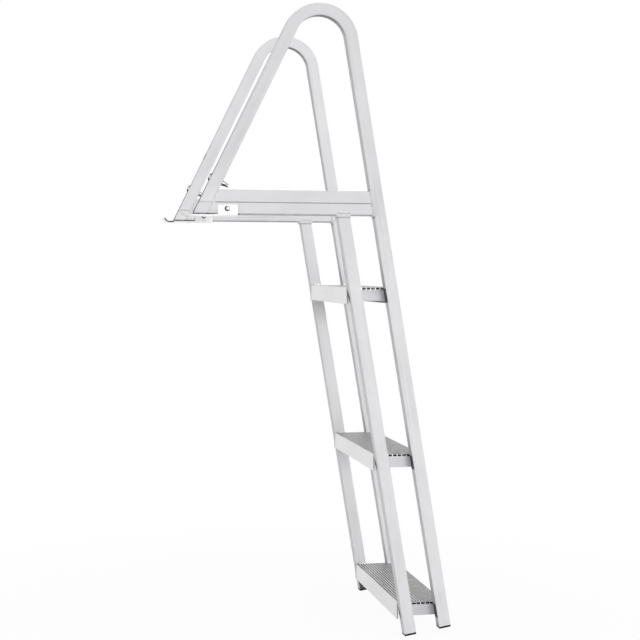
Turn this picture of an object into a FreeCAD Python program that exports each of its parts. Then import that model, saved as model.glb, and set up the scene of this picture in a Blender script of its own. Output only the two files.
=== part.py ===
# Dock ladder: two bent square-tube side frames, three extruded treads between them,
# and a bracket under each front leg that fastens it to the deck. Sizes are in millimetres.
#
# X runs from the dock out over the water, Y across the ladder, Z up.
# The origin is on the underside of the left deck bracket, straight below its cross bolt.

import FreeCAD, Part
import math
import os

from FreeCAD import Vector as V

# Square tube that the side frames are made of, with a sharp-cornered bore
tube = 25.0
wall = 2.0
corner_cut = 1.5           # flat across each corner of the tube, measured along a side

# Side frame, seen from the side
frame_spacing = 425.0      # centre of the left frame to the centre of the right one
leg_angle = 63.9           # front leg above the deck, degrees
stile_lean = 9.5           # stiles away from upright, degrees
arch_r = 65.5              # bend of the handrail, on the tube's centre line
leg_toe_x = -69.0          # front corner of the leg's foot
inner_stile_x = 226.0      # front of the inner stile, level with the bars' underside
stile_pitch = 76.2         # front of the inner stile to the front of the outer one, level
inner_foot_z = -866.0      # lowest corner of the inner foot, under its cap

# Treads
tread_tops = [-143.0, -489.0, -801.0]
tread_flange = 34.0
flange_t = 2.0
cell_count = 10
cell_w = 8.2
cell_h = 3.2
skin = 1.3
groove_w = 2.0
groove_d = 0.7
end_plate_h = 22.0
end_plate_t = 3.0
end_plate_set_back = 6.5   # front of a tread to the front of its end plates

# Rubber caps under the four feet
cap_t = 4.0
plug_len = 16.0
plug_gap = 0.2

# Deck bracket, bent from one stainless plate
plate_t = 3.0
plate_w = 56.0
plate_x0 = -79.0
ear_x0 = -19.5
ear_x1 = 21.0
ear_top = 23.0
ear_corner_r = 3.0
ear_bend_r = 2.0
neck_gap = 1.5             # wide plate's end to the ears' front edge
lip_r = 12.6
lip_sweep = 75.0
screw_r = 3.5
screw_dx = 30.0
screw_dy = 42.0
screw_mid_x = -50.0

# Cross bolt through the ears and the lower bar, and the bolt through the leg
bolt_d = 6.0
hole_clear = 0.4
thread_fit = 0.02
bolt_end = 2.5             # what stands out past the nut
cross_bolt_z = 15.0
cross_head_r = 5.5
cross_head_h = 3.4
nut_across_flats = 10.0
nut_h = 5.0
leg_bolt_rise = 15.6       # above the upper bar, along the leg's rear face
leg_head_r = 8.0
leg_head_h = 4.2
head_rim = 0.4             # straight rim of a bolt's head, as a share of its height
head_flat = 0.55           # flat top of a bolt's head, as a share of its width

# Wing nut
hub_r = 5.8
hub_top_r = 4.6
hub_h = 8.5
wing_t = 2.6
wing_tip_r = 2.8
wing_reach = 9.6           # bolt's axis to the middle of a wing's tip
wing_height = 12.2         # leg's rear face to the middle of a wing's tip
wing_turn = 20.0           # wings away from level, degrees

# Longer than any piece, for what cuts right through one
beyond = 3000.0

bar_z = plate_t
upper_bar_z = bar_z + tube
bars_top_z = upper_bar_z + tube
tread_len = frame_spacing - tube
deck_t = 2 * skin + cell_h
stile_level_w = tube / math.cos(math.radians(stile_lean))
tread_depth = stile_pitch + stile_level_w

leg_dir = V(math.cos(math.radians(leg_angle)), 0, math.sin(math.radians(leg_angle)))
leg_in = V(leg_dir.z, 0, -leg_dir.x)
stile_dir = V(-math.sin(math.radians(stile_lean)), 0, math.cos(math.radians(stile_lean)))
stile_out = V(stile_dir.z, 0, -stile_dir.x)
across = V(0, 1, 0)
toe = V(leg_toe_x, 0, bar_z)

parts = {}


def tube_section(size, cut, centre, u, v):
    """A square face on the plane of u and v, with its corners cut at 45 degrees."""
    h = size / 2.0
    k = h - cut
    outline = [(h, k), (k, h), (-k, h), (-h, k), (-h, -k), (-k, -h), (k, -h), (h, -k), (h, k)]
    if not cut:
        outline = outline[::2]
    return Part.Face(Part.makePolygon([centre + u * a + v * b for a, b in outline]))


def hollow(solid_of):
    """A square tube, from a function that makes a solid bar of a given size and corner cut."""
    return solid_of(tube, corner_cut).cut(solid_of(tube - 2 * wall, 0))


def straight_tube(start, end):
    """A length of the square tube across the frame's plane, open at both ends."""
    side = (end - start).normalize().cross(across)
    return hollow(lambda size, cut: tube_section(size, cut, start, across, side).extrude(end - start))


def box(x0, x1, y0, y1, z0, z1):
    return Part.makeBox(x1 - x0, y1 - y0, z1 - z0, V(x0, y0, z0))


def prism_y(points, y0, y1):
    """A solid from a closed outline of (x, z) points, from y0 to y1."""
    outline = [V(x, y0, z) for x, z in points]
    outline.append(outline[0])
    return Part.Face(Part.makePolygon(outline)).extrude(V(0, y1 - y0, 0))


def inner_front_x(z):
    """Front face of the inner stile at height z."""
    return inner_stile_x - (z - bar_z) * math.tan(math.radians(stile_lean))


def outer_front_x(z):
    return inner_front_x(z) + stile_pitch


def leg_rear_x(z):
    """Rear face of the front leg at height z."""
    return toe.x + (tube + (z - toe.z) * leg_dir.x) / leg_dir.z


# Both feet end on one line, square to the stiles
foot_corner = V(inner_front_x(inner_foot_z), 0, inner_foot_z)
inner_foot = foot_corner + stile_out * (tube / 2.0) + stile_dir * cap_t
outer_foot = inner_foot + stile_out * (stile_pitch * math.cos(math.radians(stile_lean)))

# The leg bolt's axis meets the front of the leg here
bars_meet_leg = V(leg_rear_x(bars_top_z), 0, bars_top_z)
leg_bolt_base = bars_meet_leg + leg_dir * leg_bolt_rise - leg_in * tube


def handrail_bend():
    """The arch: both ends and the centre, for the tube's centre line, and its turn in degrees."""
    leg_start = toe + leg_in * (tube / 2.0)
    to_foot = outer_foot - leg_start
    apex = leg_start + leg_dir * (to_foot.cross(stile_dir).y / leg_dir.cross(stile_dir).y)
    turn = math.pi - math.acos(leg_dir.dot(stile_dir))
    back = arch_r * math.tan(turn / 2.0)
    start = apex - leg_dir * back
    end = apex - stile_dir * back
    return start, end, start + leg_in * arch_r, math.degrees(turn)


def handrail(y):
    """One bent tube: up the front leg, round the arch and down the outer stile."""
    start, end, centre, turn = handrail_bend()
    past_toe = toe - leg_dir * (2 * tube)
    leg_length = (start - past_toe).dot(leg_dir)

    def solid_bar(size, cut):
        section = tube_section(size, cut, start, across, leg_in)
        leg = section.extrude(leg_dir * -leg_length)
        arch = section.revolve(centre, across, turn)
        stile = tube_section(size, cut, end, across, stile_out).extrude(outer_foot - end)
        return leg.fuse([arch, stile]).removeSplitter()

    rail = hollow(solid_bar)
    under_leg = box(-beyond, 0, -tube, tube, bar_z - beyond, bar_z)
    rail = rail.cut(under_leg)
    rail = rail.cut(leg_bolt_cylinder((bolt_d + hole_clear) / 2.0, -tube, 2 * tube))
    rail.translate(V(0, y, 0))
    return rail


def leg_bolt_cylinder(radius, start, end):
    """A cylinder on the leg bolt's axis, measured from the front of the leg."""
    return Part.makeCylinder(radius, end - start, leg_bolt_base + leg_in * start, leg_in)


def cross_bolt_hole():
    radius = (bolt_d + hole_clear) / 2.0
    return Part.makeCylinder(radius, 2 * plate_w, V(0, -plate_w, cross_bolt_z), across)


def bay_between_leg_and_stile():
    """The space between the leg's rear face and the outer stile's front face."""
    low, high = bar_z - tube, bars_top_z + tube
    outline = [(leg_rear_x(low), low), (outer_front_x(low), low),
               (outer_front_x(high), high), (leg_rear_x(high), high)]
    return prism_y(outline, -tube, tube)


def bar(z, y):
    """A level bar, cut to the slope of the leg and of the outer stile."""
    mid_z = z + tube / 2.0
    long_bar = straight_tube(V(toe.x, 0, mid_z), V(outer_front_x(z) + tube, 0, mid_z))
    shape = long_bar.common(bay_between_leg_and_stile())
    if z == bar_z:
        shape = shape.cut(cross_bolt_hole())
    shape.translate(V(0, y, 0))
    return shape


def inner_stile(y):
    above_bar = (upper_bar_z - inner_foot.z) / stile_dir.z
    shape = straight_tube(inner_foot, inner_foot + stile_dir * above_bar)
    shape = shape.cut(box(0, beyond, -tube, tube, bar_z, bar_z + beyond))
    shape.translate(V(0, y, 0))
    return shape


def foot_cap(foot, y):
    """A rubber cap: a pad under the tube's end and a plug up inside it."""
    bottom = foot - stile_dir * cap_t
    plug_size = tube - 2 * wall - 2 * plug_gap
    pad = tube_section(tube, corner_cut, bottom, across, stile_out).extrude(stile_dir * cap_t)
    plug = tube_section(plug_size, 0, foot, across, stile_out).extrude(stile_dir * plug_len)
    shape = pad.fuse(plug)
    shape.translate(V(0, y, 0))
    return shape


def tread(top_z):
    """An extruded step: hollow cells under a grooved top, with a flange down each long edge."""
    x0 = inner_front_x(top_z)
    x1 = x0 + tread_depth
    y0, y1 = tube / 2.0, tube / 2.0 + tread_len
    under, edge = top_z - deck_t, top_z - tread_flange
    outline = [(x0, top_z), (x1, top_z), (x1, edge), (x1 - flange_t, edge), (x1 - flange_t, under),
               (x0 + flange_t, under), (x0 + flange_t, edge), (x0, edge)]

    def lengthwise(mid, width, z0, z1):
        return box(mid - width / 2.0, mid + width / 2.0, y0 - tube, y1 + tube, z0, z1)

    pitch = (tread_depth - 2 * flange_t) / cell_count
    cutters = []
    for i in range(cell_count):
        mid = x0 + flange_t + pitch * (i + 0.5)
        cutters.append(lengthwise(mid, cell_w, top_z - skin - cell_h, top_z - skin))
        for side in (-1, 1):
            cutters.append(lengthwise(mid + side * pitch / 4.0, groove_w, top_z - groove_d, top_z + skin))
    return prism_y(outline, y0, y1).cut(Part.Compound(cutters))


def end_plate(top_z, y0):
    """A plate under the end of a tread, from the inner stile back to the rear flange."""
    front = inner_front_x(top_z)
    x0 = front + end_plate_set_back
    x1 = front + tread_depth - flange_t
    z1 = top_z - deck_t
    return box(x0, x1, y0, y0 + end_plate_t, z1 - end_plate_h, z1)


def lip():
    """The bracket's upturned end, bent round an axis above the plate."""
    sweep = math.radians(lip_sweep)
    axis = V(plate_x0, -plate_w / 2.0, lip_r)
    rims = []
    for r in (lip_r, lip_r - plate_t):
        rims.append([axis - V(r * math.sin(t), 0, r * math.cos(t)) for t in (0, sweep / 2.0, sweep)])
    outer, inner = rims
    edges = [
        Part.Arc(*outer).toShape(),
        Part.LineSegment(outer[2], inner[2]).toShape(),
        Part.Arc(*reversed(inner)).toShape(),
        Part.LineSegment(inner[0], outer[0]).toShape(),
    ]
    return Part.Face(Part.Wire(edges)).extrude(V(0, plate_w, 0))


def deck_bracket(y):
    """Wide plate under the foot with an upturned lip, and two ears beside the lower bar."""
    half = plate_w / 2.0
    ear_in = tube / 2.0
    ear_out = ear_in + plate_t
    neck_x0 = ear_x0 - neck_gap
    pieces = [box(neck_x0, ear_x1, -ear_out, ear_out, 0, plate_t), lip()]
    for side in (-1, 1):
        lo, hi = sorted((side * ear_in, side * ear_out))
        pieces.append(box(ear_x0, ear_x1, lo, hi, 0, ear_top))
    shape = box(plate_x0, neck_x0, -half, half, 0, plate_t).fuse(pieces).removeSplitter()

    def ends(edge, test):
        return len(edge.Vertexes) == 2 and all(test(v) for v in edge.Vertexes)

    near = 0.01
    bends = [e for e in shape.Edges if ends(e, lambda v: abs(abs(v.Y) - ear_out) < near and abs(v.Z) < near)]
    shape = shape.makeFillet(ear_bend_r, bends)
    corners = [e for e in shape.Edges if ends(e, lambda v: abs(v.Z - ear_top) < near)
               and abs(e.Vertexes[0].X - e.Vertexes[1].X) < near]
    shape = shape.makeFillet(ear_corner_r, corners)
    for dx in (-screw_dx / 2.0, screw_dx / 2.0):
        for dy in (-screw_dy / 2.0, screw_dy / 2.0):
            centre = V(screw_mid_x + dx, dy, -plate_t)
            shape = shape.cut(Part.makeCylinder(screw_r, 3 * plate_t, centre, V(0, 0, 1)))
    shape = shape.cut(cross_bolt_hole())
    shape.translate(V(0, y, 0))
    return shape


def bolt(head_r, head_h, shank, base, direction):
    """A button head that stands on base, and its shank going back the other way."""
    r = bolt_d / 2.0
    outline = [(0, head_h), (head_r * head_flat, head_h), (head_r, head_h * head_rim), (head_r, 0),
               (r, 0), (r, -shank), (0, -shank), (0, head_h)]
    half_section = Part.Face(Part.makePolygon([V(x, 0, z) for x, z in outline]))
    shape = half_section.revolve(V(0, 0, 0), V(0, 0, 1), 360)
    shape.Placement = FreeCAD.Placement(base, FreeCAD.Rotation(V(0, 0, 1), direction))
    return shape


def cross_bolt(y):
    face = tube / 2.0 + plate_t
    shank = 2 * face + nut_h + bolt_end
    return bolt(cross_head_r, cross_head_h, shank, V(0, y - face, cross_bolt_z), across * -1)


def cross_nut(y):
    """A hexagon nut on the cross bolt, against the far ear."""
    r = nut_across_flats / math.sqrt(3)
    base = V(0, y + tube / 2.0 + plate_t, cross_bolt_z)
    angles = [math.radians(60 * i) for i in range(7)]
    hexagon = Part.makePolygon([base + V(r * math.cos(a), 0, r * math.sin(a)) for a in angles])
    body = Part.Face(hexagon).extrude(across * nut_h)
    return body.cut(Part.makeCylinder(bolt_d / 2.0 + thread_fit, nut_h, base, across))


def leg_bolt(y):
    shape = bolt(leg_head_r, leg_head_h, tube + hub_h + bolt_end, leg_bolt_base, leg_in * -1)
    shape.translate(V(0, y, 0))
    return shape


def tangent_point(point, centre, radius, side):
    """Where a line from the point touches a circle, on one side of it."""
    away = point - centre
    angle = math.atan2(away.z, away.x) + side * math.acos(radius / away.Length)
    return centre + V(radius * math.cos(angle), 0, radius * math.sin(angle))


def wing():
    """One wing of the nut, flaring out and up from its hub to a round tip."""
    tip = V(wing_reach, 0, wing_height)
    low_root, high_root = V(hub_top_r / 2.0, 0, hub_h / 8.0), V(hub_top_r / 2.0, 0, hub_h)
    low = tangent_point(low_root, tip, wing_tip_r, 1)
    high = tangent_point(high_root, tip, wing_tip_r, -1)
    out = (tip * 2 - low_root - high_root).normalize()
    edges = [
        Part.LineSegment(low_root, low).toShape(),
        Part.Arc(low, tip + out * wing_tip_r, high).toShape(),
        Part.LineSegment(high, high_root).toShape(),
        Part.LineSegment(high_root, low_root).toShape(),
    ]
    blade = Part.Face(Part.Wire(edges)).extrude(V(0, wing_t, 0))
    blade.translate(V(0, -wing_t / 2.0, 0))
    return blade


def wing_nut(y):
    """A cone hub against the leg's rear face, with a wing to each side."""
    shape = Part.makeCone(hub_r, hub_top_r, hub_h)
    wings = [wing(), wing()]
    wings[1].rotate(V(0, 0, 0), V(0, 0, 1), 180)
    shape = shape.fuse(wings)
    bore_top = hub_h + wing_height
    shape = shape.cut(Part.makeCylinder(bolt_d / 2.0 + thread_fit, bore_top + hub_h, V(0, 0, -hub_h)))
    on_leg = FreeCAD.Rotation(across, leg_dir, leg_in, "ZXY")
    turn = on_leg.multiply(FreeCAD.Rotation(V(0, 0, 1), wing_turn))
    shape.Placement = FreeCAD.Placement(leg_bolt_base + leg_in * tube + V(0, y, 0), turn)
    return shape


for name, y in (("left", 0.0), ("right", frame_spacing)):
    parts[name + "_handrail_tube"] = handrail(y)
    parts[name + "_lower_bar"] = bar(bar_z, y)
    parts[name + "_upper_bar"] = bar(upper_bar_z, y)
    parts[name + "_inner_stile"] = inner_stile(y)
    parts[name + "_inner_foot_cap"] = foot_cap(inner_foot, y)
    parts[name + "_outer_foot_cap"] = foot_cap(outer_foot, y)
    parts[name + "_deck_bracket"] = deck_bracket(y)
    parts[name + "_bracket_bolt"] = cross_bolt(y)
    parts[name + "_bracket_nut"] = cross_nut(y)
    parts[name + "_leg_bolt"] = leg_bolt(y)
    parts[name + "_wing_nut"] = wing_nut(y)

for name, top_z in zip(("top", "middle", "bottom"), tread_tops):
    near_end = tube / 2.0
    parts[name + "_tread"] = tread(top_z)
    parts[name + "_tread_left_end_plate"] = end_plate(top_z, near_end)
    parts[name + "_tread_right_end_plate"] = end_plate(top_z, near_end + tread_len - end_plate_t)

os.makedirs("parts", exist_ok=True)
for name, shape in parts.items():
    shape.exportStep("parts/" + name + ".step")
    size = shape.BoundBox
    print(name, shape.isValid(), len(shape.Solids), round(shape.Volume / 1000.0, 2),
          [round(v, 1) for v in (size.XMin, size.XMax, size.YMin, size.YMax, size.ZMin, size.ZMax)])
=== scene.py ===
import bpy
import bmesh
import math
from mathutils import Matrix, Vector
from mathutils.geometry import tessellate_polygon


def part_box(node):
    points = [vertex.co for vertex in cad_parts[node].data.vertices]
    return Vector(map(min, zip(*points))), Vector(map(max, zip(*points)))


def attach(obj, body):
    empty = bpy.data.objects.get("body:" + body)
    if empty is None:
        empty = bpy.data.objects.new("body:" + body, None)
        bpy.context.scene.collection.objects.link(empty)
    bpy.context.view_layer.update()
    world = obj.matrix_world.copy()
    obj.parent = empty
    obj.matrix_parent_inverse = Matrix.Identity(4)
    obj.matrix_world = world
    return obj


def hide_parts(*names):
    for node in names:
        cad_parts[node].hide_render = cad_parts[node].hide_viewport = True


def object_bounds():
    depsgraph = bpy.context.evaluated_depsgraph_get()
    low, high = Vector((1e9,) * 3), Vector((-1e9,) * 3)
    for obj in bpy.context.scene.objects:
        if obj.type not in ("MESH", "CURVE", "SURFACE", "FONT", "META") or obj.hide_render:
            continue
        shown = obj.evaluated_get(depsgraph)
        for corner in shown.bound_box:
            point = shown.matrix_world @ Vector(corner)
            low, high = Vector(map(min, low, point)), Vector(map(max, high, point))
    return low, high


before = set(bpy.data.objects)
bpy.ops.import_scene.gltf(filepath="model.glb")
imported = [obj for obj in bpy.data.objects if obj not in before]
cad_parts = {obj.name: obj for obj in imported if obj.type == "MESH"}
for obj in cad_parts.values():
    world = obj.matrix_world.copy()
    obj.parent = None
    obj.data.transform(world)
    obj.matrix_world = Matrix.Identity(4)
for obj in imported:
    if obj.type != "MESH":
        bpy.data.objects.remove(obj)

cad_low, cad_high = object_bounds()

# Working sizes are in millimetres, in the ladder's own frame: X from the dock out over the
# water, Y across the ladder, Z up. Every mesh is brought to metres as it is made.
MM = 0.001

# Square tube
tube = 25.0
wall = 2.0
corner_r = 1.9
bore_corner_r = 0.4
arch_dish = 0.7            # how far the flats of the bend sink in

# Side frame
frame_spacing = 425.0
leg_angle = 63.9
stile_lean = 9.5
arch_r = 65.5
leg_toe_x = -69.0
inner_stile_x = 226.0
stile_pitch = 76.2
inner_foot_z = -866.0
bar_z = 3.0
upper_bar_z = bar_z + tube
bars_top_z = upper_bar_z + tube
cap_t = 4.0

# Treads
tread_tops = {"top": -143.0, "middle": -489.0, "bottom": -801.0}
tread_flange = 34.0
flange_t = 2.0
cell_count = 10
cell_w = 8.2
cell_h = 3.2
cell_corner_r = 0.7
skin = 1.3
groove_count = 16
groove_w = 2.2
groove_d = 0.7
groove_lean = 0.1          # how far a groove's side leans, either way from its edge
groove_edge_d = 0.12       # how deep the side lies at that edge
end_plate_h = 22.0
end_plate_t = 3.0
end_plate_set_back = 6.5

# Bolts and nuts
bolt_d = 6.0
plate_t = 3.0
cross_bolt_z = 15.0
cross_head_r = 5.5
cross_head_h = 3.4
nut_across_flats = 10.0
nut_h = 5.0
nut_bore_gap = 0.05
bolt_end = 2.5
leg_bolt_rise = 15.6
leg_head_r = 8.0
leg_head_h = 4.2
head_rim = 0.3             # rounding of a head's rim
thread_pitch = 1.0
thread_depth = 0.5
thread_chamfer = 0.6
hub_r = 5.8
hub_top_r = 4.6
hub_rim = 1.2
hub_h = 8.5
wing_t = 2.6
wing_tip_r = 2.8
wing_reach = 9.6
wing_height = 12.2
wing_turn = 20.0

across = Vector((0, 1, 0))
up = Vector((0, 0, 1))
leg_dir = Vector((math.cos(math.radians(leg_angle)), 0, math.sin(math.radians(leg_angle))))
leg_in = Vector((leg_dir.z, 0, -leg_dir.x))
stile_dir = Vector((-math.sin(math.radians(stile_lean)), 0, math.cos(math.radians(stile_lean))))
stile_out = Vector((stile_dir.z, 0, -stile_dir.x))
toe = Vector((leg_toe_x, 0, bar_z))
tread_len = frame_spacing - tube
deck_t = 2 * skin + cell_h
tread_depth = stile_pitch + tube / math.cos(math.radians(stile_lean))


def inner_front_x(z):
    """Front face of the inner stile at height z."""
    return inner_stile_x - (z - bar_z) * math.tan(math.radians(stile_lean))


def outer_front_x(z):
    return inner_front_x(z) + stile_pitch


def leg_rear_x(z):
    """Rear face of the front leg at height z."""
    return toe.x + (tube + (z - toe.z) * leg_dir.x) / leg_dir.z


foot_corner = Vector((inner_front_x(inner_foot_z), 0, inner_foot_z))
inner_foot = foot_corner + stile_out * (tube / 2) + stile_dir * cap_t
outer_foot = inner_foot + stile_out * (stile_pitch * math.cos(math.radians(stile_lean)))
bars_meet_leg = Vector((leg_rear_x(bars_top_z), 0, bars_top_z))
leg_bolt_base = bars_meet_leg + leg_dir * leg_bolt_rise - leg_in * tube


# Finishes

def add(tree, kind, wires=None, **settings):
    """Adds a node to a tree, sets it up and feeds its inputs with values or other sockets."""
    made = tree.nodes.new(kind)
    for key, value in settings.items():
        setattr(made, key, value)
    for key, value in (wires or {}).items():
        if isinstance(value, bpy.types.NodeSocket):
            tree.links.new(value, made.inputs[key])
        else:
            made.inputs[key].default_value = value
    return made


def noise(tree, place, scale, detail):
    wires = {"Vector": place, "Scale": scale, "Detail": detail}
    return add(tree, "ShaderNodeTexNoise", wires).outputs[0]


def spread(tree, value, low, high, to_low=0.0, to_high=1.0, **settings):
    """A value brought from one range to another, and held inside it."""
    wires = {"Value": value, "From Min": low, "From Max": high, "To Min": to_low, "To Max": to_high}
    return add(tree, "ShaderNodeMapRange", wires, **settings).outputs[0]


def combine(tree, operation, a, b, **settings):
    return add(tree, "ShaderNodeMath", {0: a, 1: b}, operation=operation, **settings).outputs[0]


def mix_colours(tree, share, first, second):
    return add(tree, "ShaderNodeMix", {0: share, 6: first, 7: second}, data_type="RGBA").outputs[2]


def new_group(name, ins, outs):
    """A shader group with named sockets, and the nodes at its two ends."""
    group = bpy.data.node_groups.new(name, "ShaderNodeTree")
    for label, kind, value in ins:
        socket = group.interface.new_socket(label, in_out="INPUT", socket_type="NodeSocket" + kind)
        if value is not None:
            socket.default_value = value
    for label, kind in outs:
        group.interface.new_socket(label, in_out="OUTPUT", socket_type="NodeSocket" + kind)
    return group, group.nodes.new("NodeGroupInput").outputs, group.nodes.new("NodeGroupOutput")


def connect(tree, node, sockets):
    for label, socket in sockets.items():
        tree.links.new(socket, node.inputs[label])


def make_metal_finish():
    """Fine lines along the metal, faint clouds, and rubbed edges, for every metal piece."""
    group, given, result = new_group("Metal finish", [
        ("Place", "Vector", None),
        ("Stretch", "Vector", (4.0, 900.0, 900.0)),
        ("Edge", "Float", 0.0),
        ("Body colour", "Color", (0.7, 0.7, 0.7, 1)),
        ("Line colour", "Color", (0.6, 0.6, 0.6, 1)),
        ("Edge colour", "Color", (0.85, 0.85, 0.85, 1)),
        ("Least rough", "Float", 0.3),
        ("Most rough", "Float", 0.45),
        ("Cloud size", "Float", 6.0),
    ], [("Colour", "Color"), ("Roughness", "Float"), ("Height", "Float")])
    stretched = add(group, "ShaderNodeVectorMath", {0: given["Place"], 1: given["Stretch"]},
                    operation="MULTIPLY")
    lines = noise(group, stretched.outputs[0], 1.0, 3.0)
    clouds = noise(group, given["Place"], given["Cloud size"], 4.0)
    specks = noise(group, given["Place"], 220.0, 2.0)
    line_mask = spread(group, lines, 0.36, 0.68)
    cloud_mask = spread(group, clouds, 0.35, 0.7)
    least_shade = 0.08
    shade = add(group, "ShaderNodeMath", {0: line_mask, 1: cloud_mask, 2: least_shade},
                operation="MULTIPLY_ADD").outputs[0]
    body = mix_colours(group, shade, given["Body colour"], given["Line colour"])
    rubbed = combine(group, "MULTIPLY", given["Edge"], specks)
    both_masks = combine(group, "ADD", cloud_mask, line_mask)
    connect(group, result, {
        "Colour": mix_colours(group, rubbed, body, given["Edge colour"]),
        "Roughness": spread(group, both_masks, 0.0, 2.0, given["Least rough"], given["Most rough"]),
        "Height": lines,
    })
    return group


def make_dirt_and_shade_film():
    """A dull dark film, a little uneven, as thick as its mark says: a dirty film in a few places, and painted
    shade and painted reflection in most.
    """
    group, given, result = new_group("Dirt and painted shade film", [
        ("Place", "Vector", None),
        ("Colour", "Color", (0.7, 0.7, 0.7, 1)),
        ("Roughness", "Float", 0.4),
        ("Metal", "Float", 0.8),
        ("Dirt and shade", "Float", 0.0),
        ("Film colour", "Color", (0.3, 0.3, 0.3, 1)),
        ("Patch size", "Float", 60.0),
    ], [("Colour", "Color"), ("Roughness", "Float"), ("Metal", "Float")])
    film_rough, film_metal = 0.75, 0.15
    patches = noise(group, given["Place"], given["Patch size"], 4.0)
    uneven = spread(group, patches, 0.3, 0.7, 0.75, 1.1)
    film = combine(group, "MULTIPLY", uneven, given["Dirt and shade"], use_clamp=True)
    connect(group, result, {
        "Colour": mix_colours(group, film, given["Colour"], given["Film colour"]),
        "Roughness": spread(group, film, 0.0, 1.0, given["Roughness"], film_rough),
        "Metal": spread(group, film, 0.0, 1.0, given["Metal"], film_metal),
    })
    return group


metal_finish = make_metal_finish()
dirt_and_shade_film = make_dirt_and_shade_film()


def band(tree, place, axis, at, clear, full, least=0.0):
    """A mask along one axis, from its least where it is clear to all of it where it is full."""
    split = add(tree, "ShaderNodeSeparateXYZ", {0: place})
    return spread(tree, split.outputs[axis], (at + clear) * MM, (at + full) * MM, least)


def new_material(name):
    made = bpy.data.materials.new(name)
    made.use_nodes = True
    return made, made.node_tree


def metal(name, body, line, edge, rough, metallic, stretch, clouds, relief,
          along_piece=False, dirt_and_shade=None, darkened_regions=()):
    """A metal, with its lines run along the piece's own length or along one axis.

    A dark film lies where the piece carries its mark, a dirty film in a few places and painted shade and
    painted reflection in most, and inside each darkened region, which is a strength and the bands that bound
    it.
    """
    made, tree = new_material(name)
    shader = tree.nodes["Principled BSDF"]
    shader.inputs["Metallic"].default_value = metallic
    shader.inputs["Specular IOR Level"].default_value = 0.15
    coords = add(tree, "ShaderNodeTexCoord").outputs
    finish = add(tree, "ShaderNodeGroup", {
        "Place": coords["UV" if along_piece else "Object"],
        "Stretch": stretch,
        "Edge": add(tree, "ShaderNodeAttribute", attribute_name="edge").outputs["Fac"],
        "Body colour": (*body, 1),
        "Line colour": (*line, 1),
        "Edge colour": (*edge, 1),
        "Least rough": rough[0],
        "Most rough": rough[1],
        "Cloud size": clouds,
    }, node_tree=metal_finish).outputs
    bump = add(tree, "ShaderNodeBump", {"Height": finish["Height"], "Strength": 0.5, "Distance": relief * MM})
    tree.links.new(bump.outputs[0], shader.inputs["Normal"])
    if dirt_and_shade:
        mark = add(tree, "ShaderNodeAttribute", attribute_name="dirt_and_shade").outputs["Fac"]
        for strength, bands in darkened_regions:
            here = strength
            for limits in bands:
                here = combine(tree, "MULTIPLY", band(tree, coords["Object"], *limits), here)
            mark = combine(tree, "MAXIMUM", here, mark)
        finish = add(tree, "ShaderNodeGroup", {
            "Place": coords["Object"],
            "Colour": finish["Colour"],
            "Roughness": finish["Roughness"],
            "Metal": metallic,
            "Dirt and shade": mark,
            "Film colour": (*dirt_and_shade, 1),
        }, node_tree=dirt_and_shade_film).outputs
        tree.links.new(finish["Metal"], shader.inputs["Metallic"])
    connect(tree, shader, {"Base Color": finish["Colour"], "Roughness": finish["Roughness"]})
    return made


def grey(level, blue=0.0):
    """A grey, with a little blue added to it."""
    return level, level, level + blue


# Where a dark film is laid, mostly painted shade and painted reflection, as its strength and the bands that
# bound it. A band is an axis, a place on it, how far from there the film is clear and how far it is full, and
# how little is left where it is clear.
outer_stile_x = outer_front_x(bar_z)
right_side_y = frame_spacing - tube / 2
bracket_rear_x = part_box("left_deck_bracket")[1].x / MM
lip_edge_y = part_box("right_deck_bracket")[0].y / MM
tube_darkening = [
    # Painted shade along the foot of the lower bars, where they sit on the bracket, fainter past the bracket
    (1.0, [("Z", bar_z, 3.6, 2.0), ("Z", bar_z, -0.8, -0.2), ("X", outer_stile_x, -0.7, -1.7),
           ("X", bracket_rear_x, 5.0, -1.0, 0.45)]),
    # Painted shade in the seam between the bars
    (0.3, [("Z", upper_bar_z, 1.8, 0.8), ("Z", upper_bar_z, -1.8, -0.8), ("X", outer_stile_x, -0.7, -1.7)]),
    # Darker just under and just over the weld at the top of the inner stile
    (0.5, [("Z", bar_z, -2.2, -3.0), ("Z", bar_z, -5.2, -4.2), ("X", inner_stile_x, -4.0, -2.0),
           ("X", inner_stile_x, 30.0, 27.0)]),
    (0.4, [("Z", bar_z, 6.2, 5.4), ("Z", bar_z, 3.4, 4.2), ("X", inner_stile_x, -2.0, 1.0),
           ("X", inner_stile_x, 28.0, 25.0)]),
    # Painted shade on the inner side of the right feet, under the bottom tread
    (0.85, [("Z", tread_tops["bottom"], -25.0, -27.0), ("Y", right_side_y, -7.5, -6.5),
            ("Y", right_side_y, 1.0, 0.3)]),
    # Painted shadow on the right inner stile, under the top tread
    (0.2, [("Z", tread_tops["top"], -97.0, -47.0), ("Z", tread_tops["top"], -7.0, -33.0),
           ("Y", right_side_y, -7.5, -4.5), ("X", inner_stile_x, 74.0, 64.0)]),
    # Painted shade: a faint darkening over the left frame, and more of it on its leg
    (0.035, [("Y", tube / 2, 7.5, 6.5)]),
    (0.095, [("Y", tube / 2, 7.5, 6.5), ("X", 0.0, 150.0, 40.0), ("Z", bars_top_z, 1.0, 7.0)]),
]
# The right end of each tread, darkened
tread_darkening = [(0.4, [("Y", right_side_y, -10.5, -6.5)])]
# Painted dark reflection on the edge of the right bracket's lip, and faintly on the whole lip of the left one
bracket_darkening = [
    (1.0, [("X", leg_toe_x, 1.0, -2.0), ("Y", lip_edge_y, 0.7, 0.3), ("Y", lip_edge_y, -1.0, -0.5)]),
    (0.25, [("X", leg_toe_x, 3.0, -5.0), ("Y", 0.0, 60.0, 59.0)]),
]

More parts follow.
